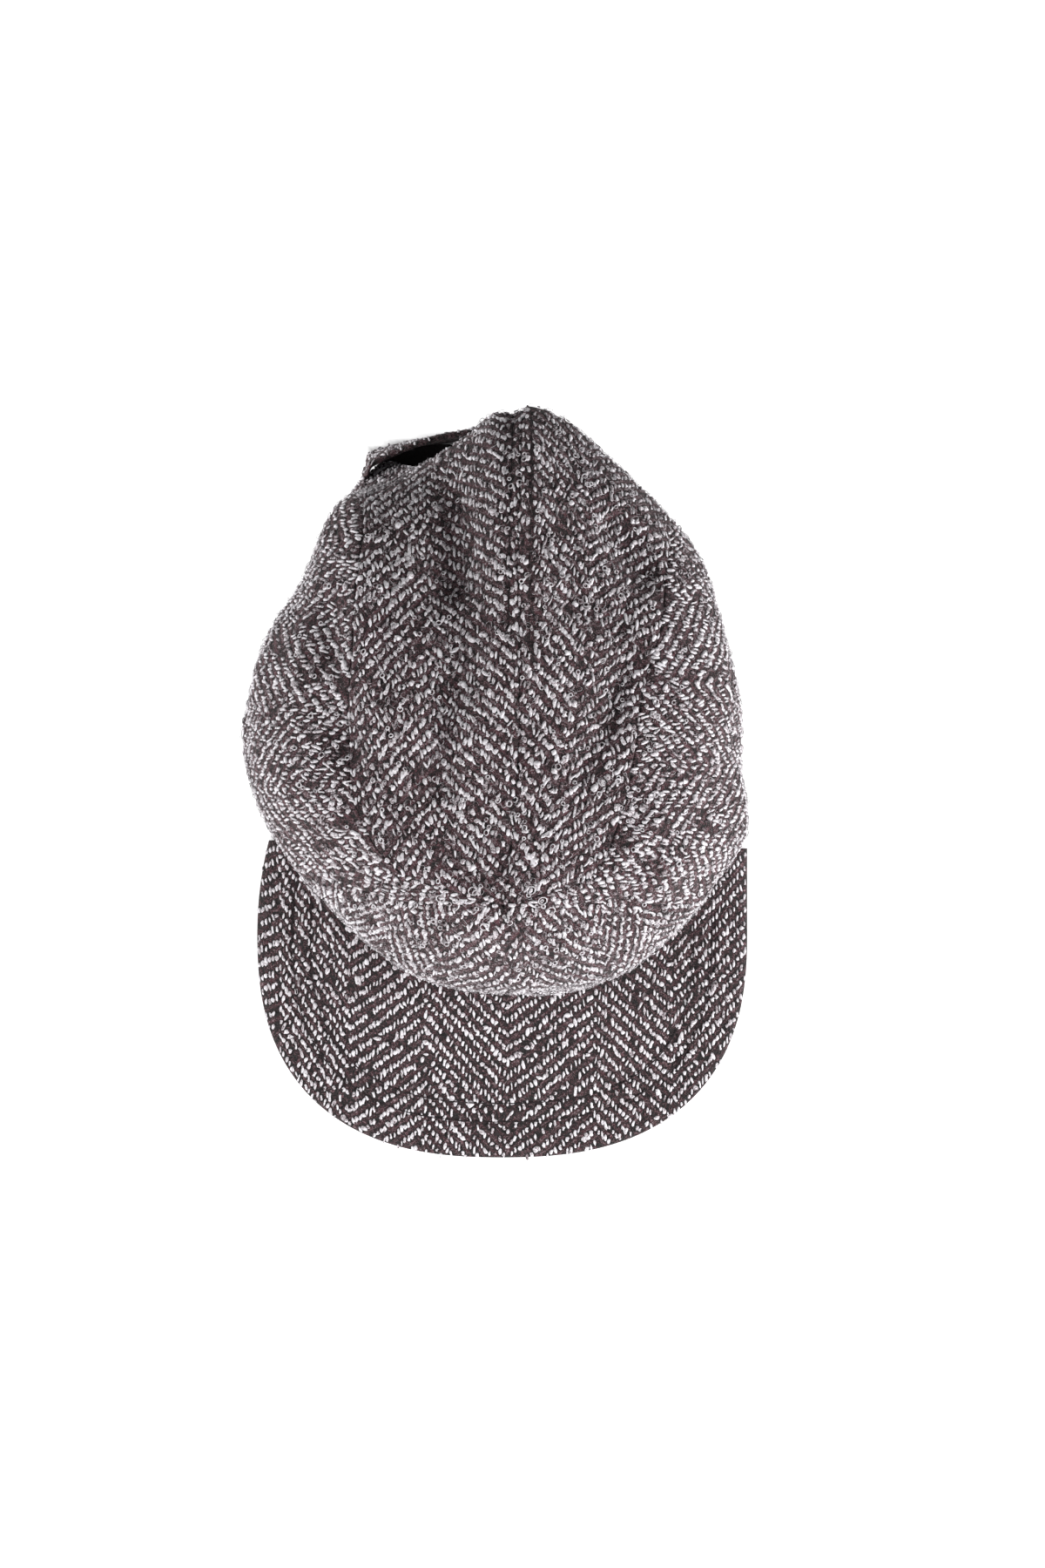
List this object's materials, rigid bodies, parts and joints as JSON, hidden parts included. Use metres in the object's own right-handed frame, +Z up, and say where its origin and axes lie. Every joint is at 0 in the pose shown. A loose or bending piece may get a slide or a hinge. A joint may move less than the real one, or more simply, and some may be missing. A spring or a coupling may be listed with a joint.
{
  "type": "baseball cap",
  "caption": "Soft baseball cap in plum-brown and grey herringbone tweed, with an arched peak and a plain cloth strap across the arched gap at the back",
  "frame": {"origin": "on the surface that the cap rests on, under the middle of its bounding box", "axes": "+Z up, the peak points to -Y, the back strap is towards +Y, +X is the right of the picture"},
  "size_m": [0.1766, 0.2656, 0.099],
  "materials": {
    "crown_tweed": "matte",
    "peak_tweed": "matte"
  },
  "bodies": {
    "root": {"front_left_panel": "crown_tweed", "front_right_panel": "crown_tweed", "side_left_panel": "crown_tweed", "side_right_panel": "crown_tweed", "back_left_panel": "crown_tweed", "back_right_panel": "crown_tweed", "peak": "peak_tweed", "back_strap": "crown_tweed"}
  },
  "joints": []
}
